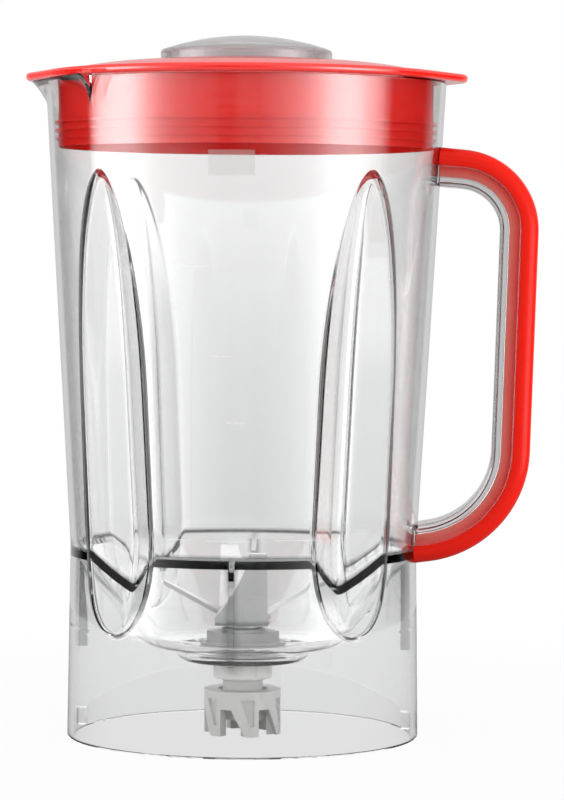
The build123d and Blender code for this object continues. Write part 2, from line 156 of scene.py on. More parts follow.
def wall_faces(bearing, height, inside):
    """Radius of the plain wall and of the nearest flute's sides, on the outer or inner face of the wall."""
    plain = wall_radius(height) - (wall_thickness(height) if inside else 0)
    valley = np.interp(height, *valley_lines[inside])
    valley_round = flute_valley_round + (skirt_wall if inside else 0)
    off = np.min([np.abs(off_bearing(bearing, centre)) for centre in flute_bearings], axis=0)
    flute = plain
    for _ in range(refinements):
        flute = (valley + keel(flute * np.sin(off), flute_slope, valley_round)) / np.cos(off)
    return plain, flute


def wall_surface(bearing, height, inside):
    """Radius of the outer or inner face of the wall at each bearing and height."""
    plain, flute = wall_faces(bearing, height, inside)
    radius = soft_least(plain, flute, inner_flute_blend if inside else outer_flute_blend)
    climb = np.clip(height - jar_height + spout_drop, 0, spout_drop)
    flare = (spout_reach ** 2 + spout_drop ** 2) / (2 * spout_reach)
    tip = plain + flare - np.sqrt(flare ** 2 - climb ** 2)
    tip_round = spout_tip_round - (mouth_wall if inside else 0)
    half = pi / len(flute_bearings)
    off = np.clip(off_bearing(bearing, pi), -half, half)
    spout = plain
    for _ in range(refinements):
        spout = (tip - keel(spout * np.sin(off), spout_slope, tip_round)) / np.cos(off)
    flared = -soft_least(-plain, -spout, spout_blend * np.maximum(climb / spout_drop, least_blend_share))
    return np.where((climb > 0) & (np.abs(off) < half), np.maximum(radius, flared), radius)


floor_wall = 2.4 * mm
bowl_height = 74.2 * mm
bowl_slope = radians(53.0)
bowl_round = 12.0 * mm
dish_slope = radians(12.5)
dish_height = 32.4 * mm
web_radius = 25.8 * mm
web_step_slope = radians(62.0)
web_step_round = 2.0 * mm
web_height = 28.4 * mm
stem_hole = 9.1 * mm
waist_middle = waist_radius - skirt_wall / 2


def bowl_line(lift):
    """Section of the bowl floor from stem hole to wall, lifted square to itself from the underside."""
    side = (waist_middle, bowl_height + (lift - floor_wall) / cos(bowl_slope), tan(bowl_slope))
    dish = (web_radius, dish_height + lift / cos(dish_slope), tan(dish_slope))
    drop = (web_radius, dish_height + lift / cos(web_step_slope), tan(web_step_slope))
    web = (stem_hole, web_height + lift, 0.0)
    corners = [web[:2]]
    for first, second in ((drop, web), (dish, drop), (side, dish)):
        rise = second[1] - first[1] + first[0] * first[2] - second[0] * second[2]
        radius = rise / (first[2] - second[2])
        corners.append((radius, first[1] + (radius - first[0]) * first[2]))
    above_wall = (mouth_radius, side[1] + (mouth_radius - side[0]) * side[2])
    radii = [web_step_round + floor_wall - lift, web_step_round + lift, bowl_round - lift]
    return rounded_line(corners + [above_wall], radii)


def row(bearing, radius, height):
    """Points once round the jar."""
    radius, height = np.broadcast_to(radius, bearing.shape), np.broadcast_to(height, bearing.shape)
    return np.column_stack([radius * np.cos(bearing), radius * np.sin(bearing), height])


def spaced(*stops):
    """Heights from the first stop to the last, with a step of its own between each pair."""
    heights = [stops[0]]
    for low, step, high in zip(stops[0:-2:2], stops[1:-1:2], stops[2::2]):
        heights += list(np.linspace(low, high, max(1, round(abs(high - low) / step)) + 1)[1:])
    return np.array(heights)


flute_least_half = radians(2.5)
flute_edge_half = radians(1.6)
flute_edge_share = 0.6
side_columns = 12
edge_columns = 14
plain_columns = 10


def columns(height, inside):
    """Bearings of the mesh's columns at a height: close together along the edges of the flutes."""
    plain = wall_radius(height) - (wall_thickness(height) if inside else 0)
    valley = np.interp(height, *valley_lines[inside])
    half = np.arccos(np.clip(cos(flute_slope) * valley / plain, 0, 1)) - flute_slope
    half = np.hypot(max(half, 0), flute_least_half)
    edge = min(flute_edge_half, half * flute_edge_share)
    knots = np.cumsum([0, side_columns, edge_columns, plain_columns])
    bearings = []
    for centre in flute_bearings:
        before = centre % (pi / 2)
        for side, reach in ((-1, before), (1, pi / 2 - before)):
            stops = np.interp(np.arange(knots[-1] + 1), knots, [0, half - edge, half + edge, reach])
            bearings.append(centre - stops[:0:-1] if side < 0 else centre + stops[:-1])
    return np.concatenate(bearings)


floor_column_height = waist_height - 10 * mm
floor_columns = columns(floor_column_height, True)
meeting_rounds = 60
side_shares = (0.25, 0.5, 0.7, 0.85, 0.93, 0.96, 0.98, 1.0)


def floor_meeting(lift):
    """Height at each column where one side of the bowl floor meets the inside of the wall."""
    line = bowl_line(lift)
    height = np.full(floor_columns.shape, waist_height)
    for _ in range(meeting_rounds):
        floor_height = np.interp(wall_surface(floor_columns, height, True), line[:, 0], line[:, 1])
        height = (height + floor_height) / 2
    return height


def floor_rows(lift, meeting):
    """Rows over one side of the bowl floor, from the stem hole to the wall."""
    line = bowl_line(lift)
    side_start = line[-2][0]
    rows = [row(floor_columns, radius, height) for radius, height in line[:-1]]
    wall = wall_surface(floor_columns, meeting, True)
    for share in side_shares:
        radius = side_start + (wall - side_start) * share
        rows.append(row(floor_columns, radius, np.interp(radius, line[:, 0], line[:, 1])))
    return rows


def wall_row(height, inside, inset=0.0, bearing=None):
    """Row on one face of the wall, moved inward by inset, on the columns or on bearings of its own."""
    bearing = columns(height, inside) if bearing is None else bearing
    return row(bearing, wall_surface(bearing, height, inside) - inset, height)


def new_mesh(name, points, faces):
    """Mesh of the given points and faces."""
    mesh = bpy.data.meshes.new(name)
    mesh.from_pydata(points, [], faces)
    return mesh


def row_faces(count, pairs):
    """Four-sided faces between pairs of rows of count points, each row closed on itself."""
    around = np.arange(count)
    ahead = (around + 1) % count
    faces = []
    for first, second in pairs:
        low, high = first * count, second * count
        faces += np.column_stack([low + around, low + ahead, high + ahead, high + around]).tolist()
    return faces


over_meeting = floor_meeting(floor_wall)
under_meeting = floor_meeting(0)
outer_toe_low, outer_toe_high, outer_toe_end = 40 * mm, 46 * mm, 58 * mm
inner_toe_low, inner_toe, inner_toe_high = 37 * mm, 40.3 * mm, 44 * mm
flute_clear = 50 * mm
floor_clear = 90 * mm
fade_start, fade_middle = 190 * mm, 206 * mm
outer_fade_end, inner_fade_end = 215 * mm, 217 * mm
spout_start = 231 * mm
above_floor_rows, below_floor_rows = 14, 12
skirt_step, wall_step, rim_step, bend_step = 4.0 * mm, 3.0 * mm, 2.5 * mm, 1.4 * mm
near_step, toe_step, fade_step, edge_step = 1.0 * mm, 0.9 * mm, 0.6 * mm, 0.35 * mm
outer_heights = spaced(
    rim_round, skirt_step, outer_toe_low, near_step, flute_bottom, edge_step, outer_toe_high, toe_step,
    outer_toe_end, wall_step, fade_start, bend_step, fade_middle, fade_step, outer_fade_end, rim_step,
    spout_start, bend_step, jar_height - rim_round)
inner_heights = spaced(
    jar_height - rim_round, bend_step, spout_start, rim_step, inner_fade_end, fade_step, fade_middle,
    bend_step, fade_start, wall_step, floor_clear)
skirt_heights = spaced(
    flute_clear, toe_step, inner_toe_high, edge_step, inner_toe, near_step, inner_toe_low, skirt_step,
    rim_round)
jar_rows = [wall_row(height, False) for height in outer_heights]
jar_rows.append(wall_row(jar_height, False, rim_round))
jar_rows.append(wall_row(jar_height, True, -rim_round))
jar_rows += [wall_row(height, True) for height in inner_heights]
last_height = inner_heights[-1]
for share in np.linspace(0, 1, above_floor_rows)[1:]:
    height = last_height + (over_meeting - last_height) * share
    bearing = columns(last_height, True) * (1 - share) + floor_columns * share
    jar_rows.append(wall_row(height, True, bearing=bearing))
jar_rows += floor_rows(floor_wall, over_meeting)[-2::-1]
jar_rows += floor_rows(0, under_meeting)
for share in np.linspace(0, 1, below_floor_rows)[1:-1]:
    height = under_meeting + (flute_clear - under_meeting) * share
    bearing = floor_columns * (1 - share) + columns(flute_clear, True) * share
    jar_rows.append(wall_row(height, True, bearing=bearing))
jar_rows += [wall_row(height, True) for height in skirt_heights]
jar_rows.append(wall_row(0, True, -rim_round))
jar_rows.append(wall_row(0, False, rim_round))
row_pairs = [(index, (index + 1) % len(jar_rows)) for index in range(len(jar_rows))]
jar_mesh = new_mesh("jar", np.vstack(jar_rows).tolist(), row_faces(len(jar_rows[0]), row_pairs))

handle_top, handle_low = 216.3 * mm, 74.0 * mm
handle_upper_corner = (104.27 * mm, 213.5 * mm)
handle_lower_corner = (100.27 * mm, 78.7 * mm)
handle_upper_round, handle_lower_round = 23.0 * mm, 36.0 * mm
handle_turn_step = radians(3.0)
handle_start = (wall_radius(handle_top) - mouth_wall / 2, handle_top)
handle_path = rounded_line(
    [handle_start, handle_upper_corner, handle_lower_corner, (waist_middle, handle_low)],
    [handle_upper_round, handle_lower_round], handle_turn_step)
handle_depth = 14.5 * mm
handle_width = 24.0 * mm
channel_depth = 7.8 * mm
channel_floor = 3.2 * mm
channel_side = 2.6 * mm
channel_round = 2.6 * mm
lip_round = 0.5 * mm
section_turn_step = radians(15.0)


def swept_mesh(name, section, end_radius):
    """Closed section of (across, outward) swept along the handle, with both ends at the wall's end_radius."""
    steps = np.diff(handle_path, axis=0)
    steps /= np.linalg.norm(steps, axis=1)[:, None]
    tangents = np.vstack([steps[:1], steps[:-1] + steps[1:], steps[-1:]])
    tangents /= np.linalg.norm(tangents, axis=1)[:, None]
    outward = np.column_stack([-tangents[:, 1], tangents[:, 0]])
    rows = []
    for place, out in zip(handle_path, outward):
        radial = place + section[:, 1:] * out
        rows.append(np.column_stack([radial[:, 0], section[:, 0], radial[:, 1]]))
    for end in (rows[0], rows[-1]):
        end[:, 0] = np.sqrt(end_radius(end[:, 2]) ** 2 - end[:, 1] ** 2)
    count, last = len(section), len(rows) - 1
    ends = [list(range(count))[::-1], list(range(count * last, count * (last + 1)))]
    sides = row_faces(count, [(index, index + 1) for index in range(last)])
    return new_mesh(name, np.vstack(rows).tolist(), ends + sides)


def closed_section(corners, radii):
    """Closed outline with every corner rounded, in a counter-clockwise order."""
    middle = (np.array(corners[0]) + np.array(corners[-1])) / 2
    return rounded_line([middle] + list(corners) + [middle], radii, section_turn_step)[1:-1]


channel_low = -handle_depth / 2
channel_lip = channel_low + channel_depth
channel_bed = channel_low + channel_floor
half_width = handle_width / 2
half_slot = half_width - channel_side
channel_section = closed_section(
    [(-half_width, channel_lip), (-half_width, channel_low), (half_width, channel_low),
     (half_width, channel_lip), (half_slot, channel_lip), (half_slot, channel_bed),
     (-half_slot, channel_bed), (-half_slot, channel_lip)],
    [lip_round, channel_round, channel_round] + [lip_round] * 5)


def wall_middle(height):
    """Radius half-way through the wall."""
    return wall_radius(height) - wall_thickness(height) / 2


channel_mesh = swept_mesh("handle_channel", channel_section, wall_middle)
rib_bottom = 33.0 * mm
rib_depth = 3.3 * mm
rib_width = 2.0 * mm
lug_bottom = 3.1 * mm
lug_height = 6.3 * mm
lug_depth = 4.0 * mm
lug_width = 6.0 * mm


def block_mesh(name, outline, width, bearing):
    """Upright plate of the given (radius, height) outline, width thick, standing along a bearing."""
    turn = Matrix.Rotation(bearing, 3, "Z")
    points = [turn @ Vector((radius, side * width / 2, height))
              for side in (-1, 1) for radius, height in outline]
    count = len(outline)
    faces = [list(range(count)), list(range(2 * count - 1, count - 1, -1))]
    faces += [(i, i + count, (i + 1) % count + count, (i + 1) % count) for i in range(count)]
    return new_mesh(name, points, faces)


rib_inner = waist_radius - skirt_wall - rib_depth
rib_top = bowl_height - floor_wall / 2 / cos(bowl_slope)
rib_outline = [(rib_inner, rib_bottom), (waist_middle, rib_bottom), (waist_middle, rib_top),
               (rib_inner, rib_top - (waist_middle - rib_inner) * tan(bowl_slope))]
lug_outer = base_radius - skirt_wall / 2
lug_inner = base_radius - skirt_wall - lug_depth
lug_outline = [(lug_inner, lug_bottom), (lug_outer, lug_bottom), (lug_outer, lug_bottom + lug_height),
               (lug_inner, lug_bottom + lug_height)]
moulded_on = [channel_mesh]
for turn in (0, 90, 180, 270):
    moulded_on.append(block_mesh("guide_rib", rib_outline, rib_width, radians(turn)))
for turn in (0, 180):
    moulded_on.append(block_mesh("locking_lug", lug_outline, lug_width, radians(turn)))


def joined_mesh(name, first, others):
    """One mesh of the space that any of the closed meshes fills."""
    body = bpy.data.objects.new(name, first)
    bpy.context.collection.objects.link(body)
    helpers = []
    for mesh in others:
        helper = bpy.data.objects.new("helper", mesh)
        bpy.context.collection.objects.link(helper)
        helpers.append(helper)
        join = body.modifiers.new("join", "BOOLEAN")
        join.operation = "UNION"
        join.solver = "MANIFOLD"
        join.object = helper
    graph = bpy.context.evaluated_depsgraph_get()
    mesh = bpy.data.meshes.new_from_object(body.evaluated_get(graph))
    for thing in [body] + helpers:
        bpy.data.objects.remove(thing)
    return mesh


def new_material(name):
    """Material with its node tree and its main shader."""
    material = bpy.data.materials.new(name)
    material.use_nodes = True
    return material, material.node_tree, material.node_tree.nodes["Principled BSDF"]


def speckle(tree, scale, stretch=(1, 1, 1), detail=4.0):
    """Noise in the object's own metres, scaled along its axes."""
    place = tree.nodes.new("ShaderNodeTexCoord")
    mapping = tree.nodes.new("ShaderNodeMapping")
    mapping.inputs["Scale"].default_value = stretch
    noise = tree.nodes.new("ShaderNodeTexNoise")
    noise.inputs["Scale"].default_value = scale
    noise.inputs["Detail"].default_value = detail
    tree.links.new(place.outputs["Object"], mapping.inputs["Vector"])
    tree.links.new(mapping.outputs["Vector"], noise.inputs["Vector"])
    return noise.outputs["Fac"]


noise_low, noise_high = 0.3, 0.7


def uneven(tree, socket, noise, low, high):
    """Drives a shader's socket by noise, between low and high."""
    spread = tree.nodes.new("ShaderNodeMapRange")
    spread.inputs["From Min"].default_value = noise_low
    spread.inputs["From Max"].default_value = noise_high
    spread.inputs["To Min"].default_value = low
    spread.inputs["To Max"].default_value = high
    tree.links.new(noise, spread.inputs["Value"])
    tree.links.new(spread.outputs["Result"], socket)


def relief(tree, shader, noise, strength, depth):
    """Fine relief of a given depth on a shader's surface."""
    bump = tree.nodes.new("ShaderNodeBump")
    bump.inputs["Strength"].default_value = strength
    bump.inputs["Distance"].default_value = depth
    tree.links.new(noise, bump.inputs["Height"])
    tree.links.new(bump.outputs["Normal"], shader.inputs["Normal"])


def clear_plastic(name, tint, see_through, smoke, smoke_colour):
    """Polished clear plastic: faint haze, slight moulding ripples and grey smoke in its depth."""
    material, tree, shader = new_material(name)
    shader.inputs["Base Color"].default_value = (*tint, 1)
    shader.inputs["IOR"].default_value = 1.57
    shader.inputs["Transmission Weight"].default_value = see_through
    uneven(tree, shader.inputs["Roughness"], speckle(tree, 300.0), 0.01, 0.04)
    relief(tree, shader, speckle(tree, 45.0, detail=2.0), strength=0.2, depth=0.04 * mm)
    absorption = tree.nodes.new("ShaderNodeVolumeAbsorption")
    absorption.inputs["Color"].default_value = (*smoke_colour, 1)
    absorption.inputs["Density"].default_value = smoke
    tree.links.new(absorption.outputs["Volume"], tree.nodes["Material Output"].inputs["Volume"])
    return material


def paint_light_and_shade(material, stored, colour):
    """Paints light and shade into a material: moves its colour towards another one by a share that its mesh
    stores at each point.
    """
    tree = material.node_tree
    base = tree.nodes["Principled BSDF"].inputs["Base Color"]
    share = tree.nodes.new("ShaderNodeAttribute")
    share.attribute_name = stored
    mixed = tree.nodes.new("ShaderNodeMix")
    mixed.data_type = "RGBA"
    if base.is_linked:
        tree.links.new(base.links[0].from_socket, mixed.inputs["A"])
    else:
        mixed.inputs["A"].default_value = base.default_value
    mixed.inputs["B"].default_value = (*colour, 1)
    tree.links.new(share.outputs["Fac"], mixed.inputs["Factor"])
    tree.links.new(mixed.outputs["Result"], base)


def store(mesh, name, values):
    """Keeps one number for each point of a mesh."""
    mesh.attributes.new(name, "FLOAT", "POINT").data.foreach_set("value", values)


def smooth_step(value, low, high):
    """Share from 0 at low to 1 at high with soft ends."""
    share = np.clip((value - low) / (high - low), 0, 1)
    return share * share * (3 - 2 * share)


# Widths and strengths of the painted shade on the flutes' edges and hoods, standing for the dark surroundings
# that the clear wall refracts there.
flute_line = 0.3 * mm
line_core = 0.3
side_line_widening = 1.7
painted_side_line_shade, painted_front_line_shade = 1.0, 0.5
back_share, inner_share = 0.4, 0.5
painted_hood_shade = 0.6
hood_lean, hood_full_lean = 0.5, 1.0
hood_depth = 0.2 * mm
least_rise = 1e-9
face_depth = 0.35 * mm


def painted_flute_shades(radius, bearing, height):
    """Painted shade on the flutes' edges and the hoods at their tops: most on the sides, least at the back.
    """
    sideways = np.abs(np.cos(bearing)) > sin(flute_spread)
    width = np.where(sideways, side_line_widening, 1.0) * flute_line
    strength = np.where(sideways, painted_side_line_shade, painted_front_line_shade)
    strength = strength * np.where(np.sin(bearing) > 0, back_share, 1.0)
    shade = np.zeros(radius.shape)
    for inside, share in ((False, 1.0), (True, inner_share)):
        plain, flute = wall_faces(bearing, height, inside)
        on_face = np.abs(radius - np.minimum(plain, flute)) < face_depth
        line = 1 - smooth_step(np.abs(plain - flute), line_core * width, width)
        heights, radii = valley_lines[inside]
        leans = np.gradient(radii) / np.maximum(np.gradient(heights), least_rise)
        lean = np.interp(height, heights, leans)
        hood = smooth_step(lean, hood_lean, hood_full_lean)
        hood = hood * (height > flute_shoulder) * (plain - flute > hood_depth)
        shade = np.maximum(shade, on_face * np.maximum(line * strength * share, hood * painted_hood_shade))
    return shade


floor_line = 0.65 * mm
floor_line_fade = 0.6
floor_line_rise = 0.5
floor_line_reach = 1.6 * flute_depth


def painted_floor_shades(radius, height, corner):
    """Painted shade along the corner between the bowl floor and the wall."""
    below = corner - height
    ring = smooth_step(below, -floor_line_rise * floor_line, 0)
    ring = ring * (1 - smooth_step(below, floor_line, (1 + floor_line_fade) * floor_line))
    return ring * (radius < wall_middle(height)) * (radius > waist_radius - floor_line_reach)


painted_rib_shade = 0.55
rib_margin = 0.1 * mm
rib_half_reach = 0.6 * rib_width


def painted_rib_shades(x, y, radius, height, corner):
    """Painted shade on the guide ribs under the floor."""
    rib = np.minimum(np.abs(x), np.abs(y)) < rib_half_reach
    rib &= (radius < waist_middle) & (radius > rib_inner - rib_margin)
    rib &= (height > rib_bottom - rib_margin) & (height < corner - 2 * floor_line)
    return rib * painted_rib_shade


painted_edge_shade = "painted_edge_shade"


def paint_edge_shade(mesh):
    """Stores how much painted shade each point gets: on the flutes' edges and hoods, round the floor and on
    the ribs.
    """
    points = np.empty(3 * len(mesh.vertices))
    mesh.vertices.foreach_get("co", points)
    x, y, height = points.reshape(-1, 3).T
    radius, bearing = np.hypot(x, y), np.arctan2(y, x) % (2 * pi)
    corner = np.interp(bearing, floor_columns, over_meeting, period=2 * pi)
    shades = [painted_flute_shades(radius, bearing, height), painted_floor_shades(radius, height, corner),
              painted_rib_shades(x, y, radius, height, corner)]
    store(mesh, painted_edge_shade, np.max(shades, axis=0))


def add_piece(name, mesh, material, body, sharp=radians(32.0)):
    """Puts a mesh in the scene as a piece that rides on a body."""
    mesh.shade_smooth()
    mesh.set_sharp_from_angle(angle=sharp)
    mesh.materials.clear()
    mesh.materials.append(material)
    piece = bpy.data.objects.new(name, mesh)
    bpy.context.collection.objects.link(piece)
    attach(piece, body)
    return piece


jar_tint, jar_smoke = (0.992, 0.994, 0.994), (0.74, 0.75, 0.755)
jar_plastic = clear_plastic("clear_plastic", jar_tint, see_through=1.0, smoke=34.0, smoke_colour=jar_smoke)
# Painted shade: the jar's colour goes towards near black on the flutes' edges and hoods, round the floor's
# corner and on the ribs.
paint_light_and_shade(jar_plastic, painted_edge_shade, colour=(0.02, 0.021, 0.022))
jar_joined = joined_mesh("jar_moulding", jar_mesh, moulded_on)
paint_edge_shade(jar_joined)
jar_piece = add_piece("jar_moulding", jar_joined, jar_plastic, "jar")
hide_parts("jar_body")

# Marks on the wall: a small matt pad under the lid and a few faint lines of a scale, moulded with the wall.
# They are thin sheets that lie on the outside of the wall and let part of the view through.
mark_proud = 0.03 * mm
mark_columns = 12
front_bearing = 3 * pi / 2
pad_half = radians(6.5)
pad_low, pad_high = 211.0 * mm, 220.0 * mm
scale_line = 0.5 * mm
scale_marks = [(178.5 * mm, -15.9, -4.6), (163.0 * mm, -17.3, -13.4), (146.0 * mm, -6.1, 0.1),
               (122.0 * mm, -1.5, 4.0), (79.4 * mm, -20.6, -14.6), (79.2 * mm, -7.5, 6.3),
               (79.4 * mm, 13.9, 28.3)]


def wall_patches(name, patches):
    """Sheets on the outside of the wall, each between two bearings from the front and two heights."""
    points, faces = [], []
    for start, end, low, high in patches:
        bearing = front_bearing + np.linspace(start, end, mark_columns)
        first = len(points)
        for height in (low, high):
            points += row(bearing, wall_surface(bearing, height, False) + mark_proud, height).tolist()
        for i in range(first, first + mark_columns - 1):
            faces.append((i, i + 1, i + mark_columns + 1, i + mark_columns))
    return new_mesh(name, points, faces)


def frosting(name, colour, cover, roughness):
    """Matt moulded surface that lets part of the view through, with a fine uneven grain."""
    material, tree, shader = new_material(name)
    shader.inputs["Base Color"].default_value = (*colour, 1)
    uneven(tree, shader.inputs["Alpha"], speckle(tree, 800.0), cover * 0.9, cover * 1.1)
    uneven(tree, shader.inputs["Roughness"], speckle(tree, 1500.0), roughness * 0.85, roughness * 1.1)
    relief(tree, shader, speckle(tree, 3000.0), strength=0.3, depth=0.02 * mm)
    return material


add_piece("badge_pad", wall_patches("badge_pad", [(-pad_half, pad_half, pad_low, pad_high)]),
          frosting("pad_frosting", (0.45, 0.43, 0.4), cover=0.3, roughness=0.6), "jar")
half_line = scale_line / 2
mark_spans = [(radians(start), radians(end), height - half_line, height + half_line)
              for height, start, end in scale_marks]
add_piece("scale_marks", wall_patches("scale_marks", mark_spans),
          frosting("scale_frosting", (0.9, 0.9, 0.9), cover=0.3, roughness=0.5), "jar")

# Grip strip: a bright red plastic moulding pressed into the handle's channel.
# Its stem fills the channel and its rounded crown covers the channel's lips; its ends stop just off the wall.
# The stem's colour is painted a lighter pink where it shows through the clear side of the channel: a painted
# veil for the light that this side lays over it.
crown_round = 4.6 * mm
insert_gap = 0.2 * mm
stem_half = half_slot - insert_gap
stem_low = channel_bed + insert_gap
crown_top = handle_depth / 2
strip_section = closed_section(
    [(-half_width, crown_top), (-half_width, channel_lip), (-stem_half, channel_lip), (-stem_half, stem_low),
     (stem_half, stem_low), (stem_half, channel_lip), (half_width, channel_lip), (half_width, crown_top)],
    [crown_round, lip_round, lip_round / 2, lip_round, lip_round, lip_round / 2, lip_round, crown_round])


def mottled(tree, shader, colour, second, patches):
    """Colours a shader in soft patches of two colours."""
    mottle = tree.nodes.new("ShaderNodeMix")
    mottle.data_type = "RGBA"
    mottle.inputs["A"].default_value = (*colour, 1)
    mottle.inputs["B"].default_value = (*second, 1)
    tree.links.new(patches, mottle.inputs["Factor"])
    tree.links.new(mottle.outputs["Result"], shader.inputs["Base Color"])


def red_plastic(name, colour, roughness, ior):
    """Bright red moulded plastic: faint mottling, a polished skin and shallow sink ripples."""
    material, tree, shader = new_material(name)
    deeper = (colour[0] * 0.93, colour[1] * 0.8, colour[2] * 0.8)
    mottled(tree, shader, colour, deeper, speckle(tree, 70.0))
    shader.inputs["IOR"].default_value = ior
    uneven(tree, shader.inputs["Roughness"], speckle(tree, 500.0), roughness * 0.8, roughness * 1.25)
    relief(tree, shader, speckle(tree, 60.0, detail=2.0), strength=0.2, depth=0.06 * mm)
    return material


def strip_end(height):
    """Radius at which the strip's ends stop, just off the wall."""
    return wall_radius(height) + insert_gap


grip_red = red_plastic("grip_red", (0.8, 0.012, 0.004), roughness=0.2, ior=1.3)
# Painted veil: the stem's points go towards a light pink.
paint_light_and_shade(grip_red, "painted_veil", colour=(0.74, 0.17, 0.14))
strip_mesh = swept_mesh("grip_strip", strip_section, strip_end)
on_stem = strip_section[:, 1] < channel_lip - lip_round
store(strip_mesh, "painted_veil", np.tile(on_stem.astype(float), len(handle_path)))
strip_piece = add_piece("grip_strip", strip_mesh, grip_red, "jar")
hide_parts("handle_insert")

# Fixed half of the blade unit: a rubber ring, a pale plastic bearing housing, a white ring nut, two bronze
# bushes and a rubber seal. The housing drops through the floor from above and the nut clamps it from below.


def dress(node, material):
    """Gives a piece of the frame its finish."""
    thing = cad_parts[node]
    thing.data.materials.clear()
    thing.data.materials.append(material)


def dull_plastic(name, colour, roughness):
    """Moulded plastic with a fine spark-eroded grain and a little unevenness of tone."""
    material, tree, shader = new_material(name)
    mottled(tree, shader, colour, [level * 0.92 for level in colour], speckle(tree, 120.0))
    uneven(tree, shader.inputs["Roughness"], speckle(tree, 900.0), roughness * 0.85, roughness * 1.2)
    relief(tree, shader, speckle(tree, 2500.0), strength=0.2, depth=0.02 * mm)
    return material


def turned_metal(name, colour, roughness, stretch=(1, 1, 14)):
    """Metal with fine tool lines across its axis."""
    material, tree, shader = new_material(name)
    shader.inputs["Metallic"].default_value = 1.0
    mottled(tree, shader, colour, [level * 0.82 for level in colour], speckle(tree, 260.0, stretch))
    lines = speckle(tree, 420.0, stretch)
    uneven(tree, shader.inputs["Roughness"], lines, roughness * 0.8, roughness * 1.3)
    relief(tree, shader, lines, strength=0.12, depth=0.02 * mm)
    return material


rubber = dull_plastic("grey_rubber", (0.16, 0.165, 0.17), 0.6)
bronze = turned_metal("bronze", (0.72, 0.5, 0.24), 0.35)
dress("base_gasket", rubber)
dress("shaft_seal", rubber)
dress("blade_base", dull_plastic("housing_plastic", (0.74, 0.75, 0.75), 0.38))
dress("retaining_nut", dull_plastic("nut_plastic", (0.93, 0.93, 0.91), 0.4))
dress("upper_bush", bronze)
dress("lower_bush", bronze)

# Turning half of the blade unit: a ground steel shaft with washers, two stamped blades, a spacer and a domed
# nut. A white plastic coupling with a brass hexagon in its hub takes the drive from below.
steel = turned_metal("plain_steel", (0.62, 0.63, 0.64), 0.28)
blade_steel = turned_metal("blade_steel", (0.9, 0.905, 0.91), 0.42, (1, 1, 6))
for node in ("drive_shaft", "upper_washer", "lower_washer", "blade_spacer", "blade_nut"):
    dress(node, steel)
for node in ("steep_blade", "spread_blade"):
    dress(node, blade_steel)
dress("drive_coupling", dull_plastic("coupling_plastic", (0.72, 0.72, 0.705), 0.42))
dress("coupling_insert", bronze)

# Lid: a glossy red plastic moulding with a crowned top, a sealing skirt inside the mouth and a neck for the
# cap. It pushes into the mouth, and its two tabs cover the spout and lift it off.
dress("lid", red_plastic("lid_red", (1.0, 0.012, 0.005), roughness=0.14, ior=2.35))

# Dosing cap: a clear plastic plug with a flange and a low dome.
# It is moulded in one piece, a little smoky, and drops loosely into the lid's neck.
cap_tint, cap_smoke = (0.84, 0.845, 0.85), (0.72, 0.73, 0.74)
cap_plastic = clear_plastic("cap_plastic", cap_tint, see_through=0.72, smoke=25.0, smoke_colour=cap_smoke)
dress("dosing_cap", cap_plastic)

# Stage: a small pale floor that fades into a white surround, three soft boxes, and the camera.
# Shiny surfaces mirror a dark room with a bright box on each side and light from above. All but those behind
# the wall also mirror some light from the rear, so that the jar's edges stay clear.
world = bpy.data.worlds.new("surround")
bpy.context.scene.world = world
world.use_nodes = True
surround = world.node_tree
surround.nodes.clear()


def feed(tree, socket, value):
    """Sets a socket to a number, or links another socket to it."""
    if isinstance(value, float):
        socket.default_value = value
    else:
        tree.links.new(value, socket)


def chosen(tree, switch, without, with_it):
    """Value that goes from one number or socket to another as the switch goes from 0 to 1."""
    mix = tree.nodes.new("ShaderNodeMix")
    tree.links.new(switch, mix.inputs["Factor"])
    feed(tree, mix.inputs["A"], without)
    feed(tree, mix.inputs["B"], with_it)
    return mix.outputs["Result"]


def stepped(tree, source, low, high):
    """Share from 0 at low to 1 at high with soft ends."""
    step = tree.nodes.new("ShaderNodeMapRange")
    step.interpolation_type = "SMOOTHSTEP"
    step.inputs["From Min"].default_value = low
    step.inputs["From Max"].default_value = high
    tree.links.new(source, step.inputs["Value"])
    return step.outputs["Result"]


def calculated(tree, operation, *terms):
    """Sum, product or other result of numbers or sockets."""
    result = tree.nodes.new("ShaderNodeMath")
    result.operation = operation
    for socket, term in zip(result.inputs, terms):
        feed(tree, socket, term)
    return result.outputs["Value"]


backdrop_white = 1.0
behind_glass, glass_low, glass_high = 0.955, 0.76, 1.02
glass_rise, glass_across, glass_middle = 1.7, -0.87, -0.07
inside_light = 2.4
ambient = 0.8
overhead, overhead_inside = 0.45, 2.0
overhead_low, overhead_full = 0.07, 0.16
edge_light = 0.65
rear_start, rear_full = 0.6, 0.9
wall_crossings = 3.5
dark_room = 0.01
brightest = 3.6
studio = [(-101, dark_room), (-98, 0.75), (-94, 2.5), (-80, 3.4), (-70, 3.6), (-62, 2.7), (-54, 1.5),
          (-46, 0.8), (-38, 0.45), (-24, 0.18), (-13, 0.09), (-11, 0.01), (-2, 0.01), (0, 0.1), (12, 0.13),
          (22, 0.36), (32, 0.65), (40, 1.1), (47, 1.7), (54, 2.7), (62, 3.2), (69, 3.3), (79, 2.3),
          (88, 1.35), (94, 0.8), (98, dark_room)]

